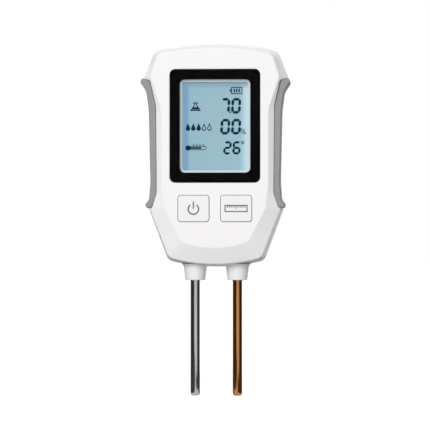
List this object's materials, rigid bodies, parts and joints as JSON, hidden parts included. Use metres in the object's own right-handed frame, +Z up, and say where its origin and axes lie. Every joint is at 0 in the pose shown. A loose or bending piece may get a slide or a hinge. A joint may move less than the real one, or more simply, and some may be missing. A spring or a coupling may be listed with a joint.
{
  "type": "soil ph meter",
  "caption": "Hand-held soil meter: white hourglass case with grey side grips, a display, keys, a battery door, and steel and copper probes.",
  "frame": {"origin": "midway between the two probe tips, at their lowest point", "axes": "+Z up along the probes to the top of the case, -Y out of the display, +X to the right as seen from the front, towards the copper probe"},
  "size_m": [0.0666, 0.0274, 0.1581],
  "materials": {
    "case_white": "fine satin",
    "key_white": "satin",
    "grip_grey": "satin",
    "lens_clear": "clear, smooth",
    "gasket_black": "matt",
    "frame_grey": "satin",
    "lcd_blue": "smooth, backlit",
    "guide_white": "milky",
    "led_yellow": "smooth",
    "chip_black": "matt",
    "board_green": "satin",
    "cell_sleeve": "gloss sleeve",
    "contact_steel": "plated",
    "probe_steel": "drawn",
    "probe_copper": "drawn copper",
    "wire_red": "satin"
  },
  "bodies": {
    "case": {"front_shell": "case_white", "back_shell": "case_white", "left_grip": "grip_grey", "right_grip": "grip_grey", "display_lens": "lens_clear", "lens_gasket": "gasket_black", "display_frame": "frame_grey", "lcd_panel": "lcd_blue", "backlight_panel": "guide_white", "backlight_leds": "led_yellow", "contact_strip": "gasket_black", "power_switch": "chip_black", "measure_switch": "chip_black", "circuit_board": "board_green", "main_chip": "chip_black", "board_parts": "chip_black", "battery_cells": "cell_sleeve", "battery_terminals": "contact_steel", "battery_bridge": "contact_steel", "battery_springs": "contact_steel", "steel_probe": "probe_steel", "copper_probe": "probe_copper", "probe_seals": "gasket_black", "probe_lugs": "contact_steel", "probe_nuts": "contact_steel", "probe_wires": "wire_red", "temperature_sensor": "wire_red", "case_screws": "contact_steel", "board_screws": "contact_steel"},
    "power_key": {"power_button": "key_white", "power_switch_plunger": "chip_black"},
    "measure_key": {"measure_button": "key_white", "measure_switch_plunger": "chip_black"},
    "door": {"battery_door": "case_white"}
  },
  "joints": [
    {"name": "power_key_press", "type": "slide", "parent": "case", "child": "power_key", "axis": [0, 1, 0], "range_m": [0, 0.0005], "stiffness_N_per_m": 300, "springref_m": -0.002},
    {"name": "measure_key_press", "type": "slide", "parent": "case", "child": "measure_key", "axis": [0, 1, 0], "range_m": [0, 0.0005], "stiffness_N_per_m": 300, "springref_m": -0.002},
    {"name": "battery_door_turn", "type": "hinge", "parent": "case", "child": "door", "pos_m": [0, 0.01375, 0.083], "axis": [-1, 0, 0], "range_deg": [0, 60]}
  ]
}
